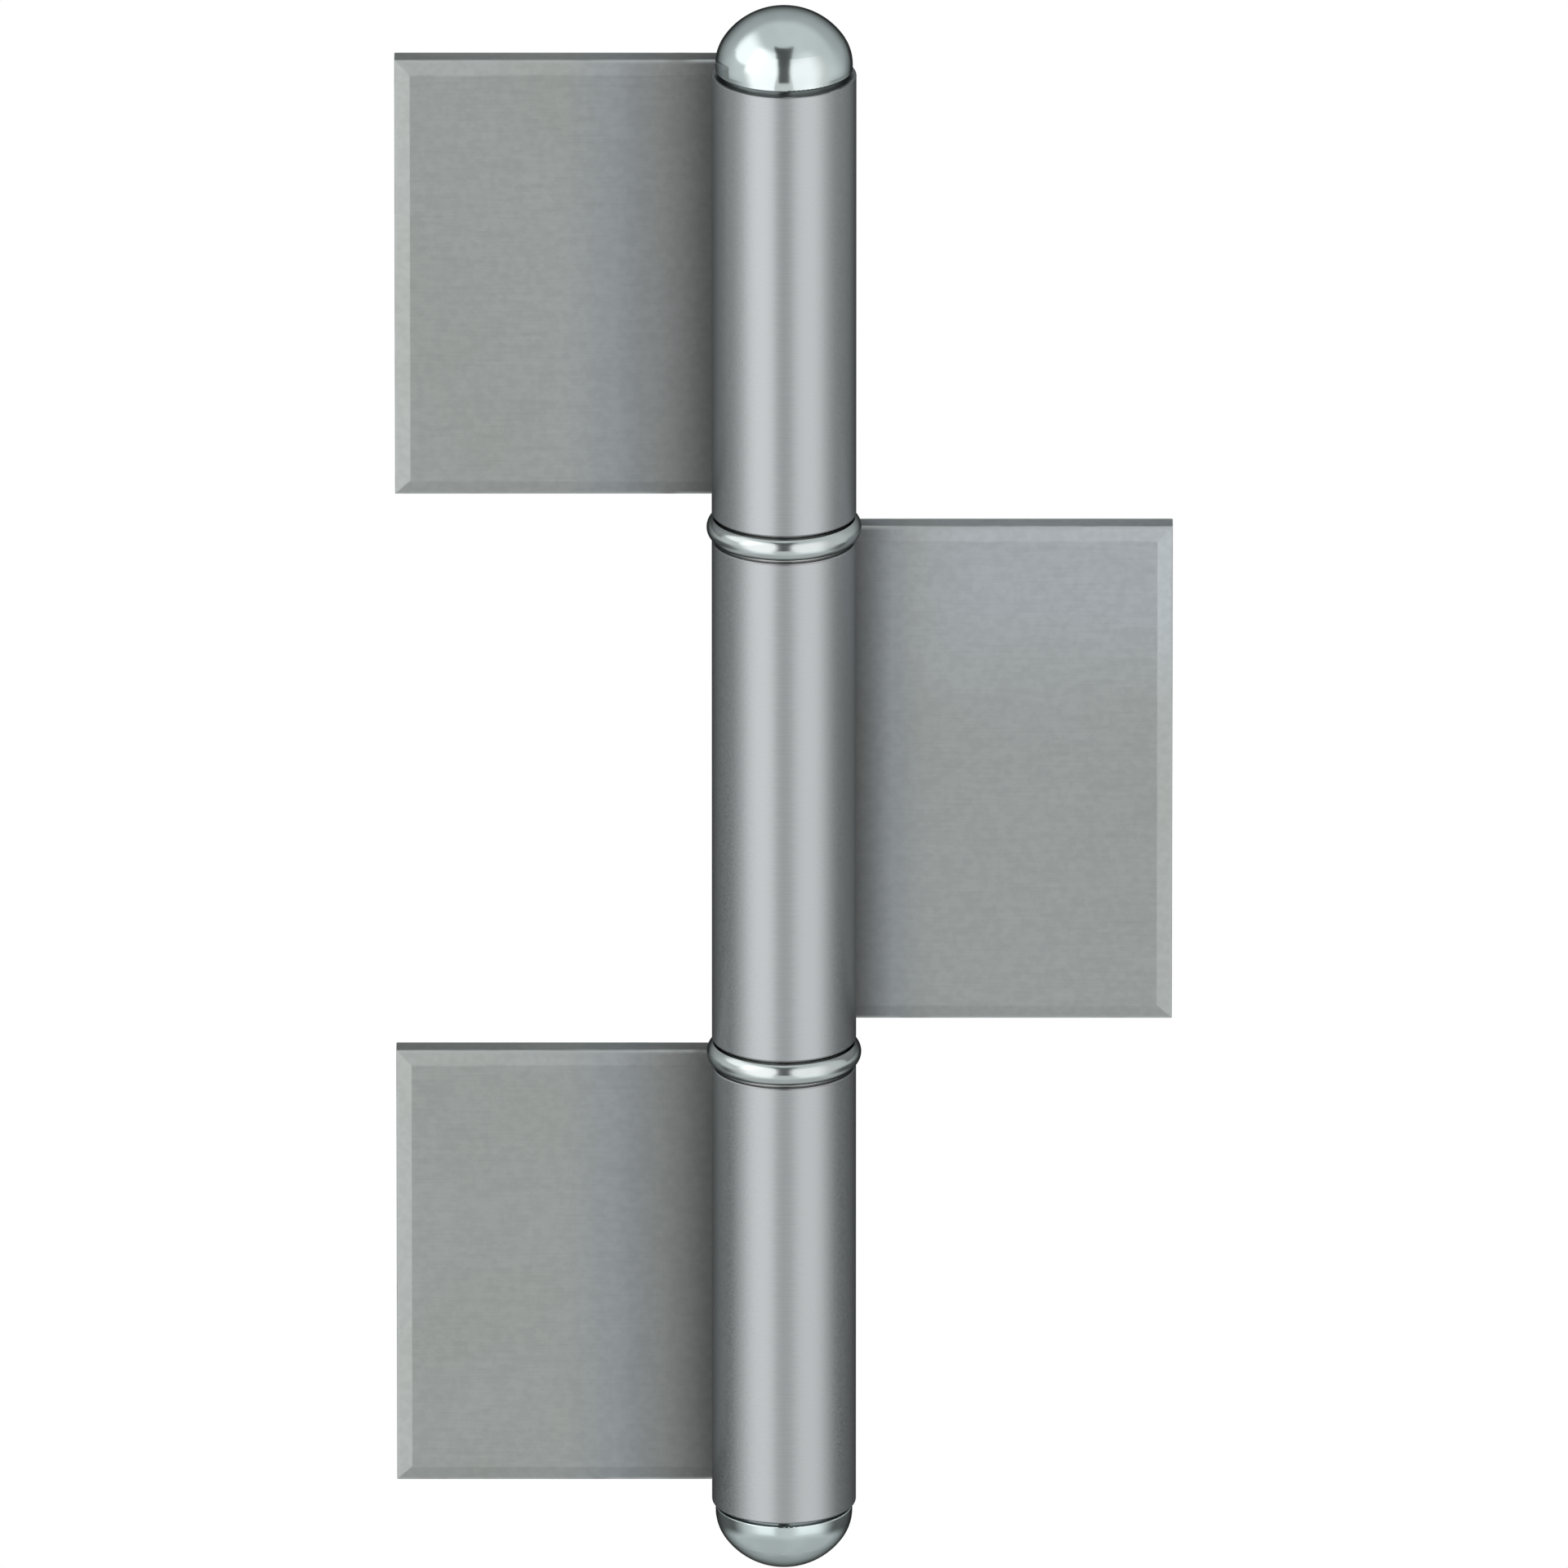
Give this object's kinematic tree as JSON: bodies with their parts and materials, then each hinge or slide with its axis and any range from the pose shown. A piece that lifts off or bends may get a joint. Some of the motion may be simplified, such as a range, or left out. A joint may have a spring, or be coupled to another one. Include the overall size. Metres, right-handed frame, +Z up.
{
  "type": "weld-on hinge",
  "caption": "Steel weld-on hinge: leaves rolled into barrels on a pin, thrust ball bearings in polished rings between the barrels, domed end caps and bevelled edges for welding.",
  "frame": {"origin": "on the pin's axis at mid-height, the centre of the whole hinge opened flat", "axes": "+Z up along the pin, +X from the pin towards the door leaf's outer edge, +Y towards the flush rear faces of the leaves, which lie against what they are welded to"},
  "size_m": [0.0968, 0.0192, 0.2058],
  "materials": {
    "leaf_steel": "bare rolled steel, satin, fine grain",
    "polished_steel": "polished bright",
    "ground_steel": "ground",
    "ball_steel": "lapped bright",
    "cage_steel": "pressed, dull"
  },
  "bodies": {
    "frame_side": {"upper_frame_leaf": "leaf_steel", "lower_frame_leaf": "leaf_steel", "hinge_pin": "ground_steel", "top_cap": "polished_steel", "bottom_cap": "polished_steel", "upper_bearing_top_race": "ground_steel", "lower_bearing_bottom_race": "ground_steel", "lower_bearing_shell": "polished_steel"},
    "door_side": {"door_leaf": "leaf_steel", "upper_bearing_bottom_race": "ground_steel", "upper_bearing_shell": "polished_steel", "lower_bearing_top_race": "ground_steel"},
    "upper_ball_row": {"upper_bearing_balls": "ball_steel", "upper_ball_cage": "cage_steel"},
    "lower_ball_row": {"lower_bearing_balls": "ball_steel", "lower_ball_cage": "cage_steel"}
  },
  "joints": [
    {"name": "door_swing", "type": "hinge", "parent": "frame_side", "child": "door_side", "pos_m": [0, 0, 0], "axis": [0, 0, 1], "continuous": true},
    {"name": "upper_balls_roll", "type": "hinge", "parent": "frame_side", "child": "upper_ball_row", "pos_m": [0, 0, 0.03475], "axis": [0, 0, 1], "continuous": true},
    {"name": "lower_balls_roll", "type": "hinge", "parent": "frame_side", "child": "lower_ball_row", "pos_m": [0, 0, -0.03475], "axis": [0, 0, 1], "continuous": true}
  ],
  "couplings": [
    {"joint": "upper_balls_roll", "follows": "door_swing", "ratio": 0.5},
    {"joint": "lower_balls_roll", "follows": "door_swing", "ratio": 0.5}
  ]
}
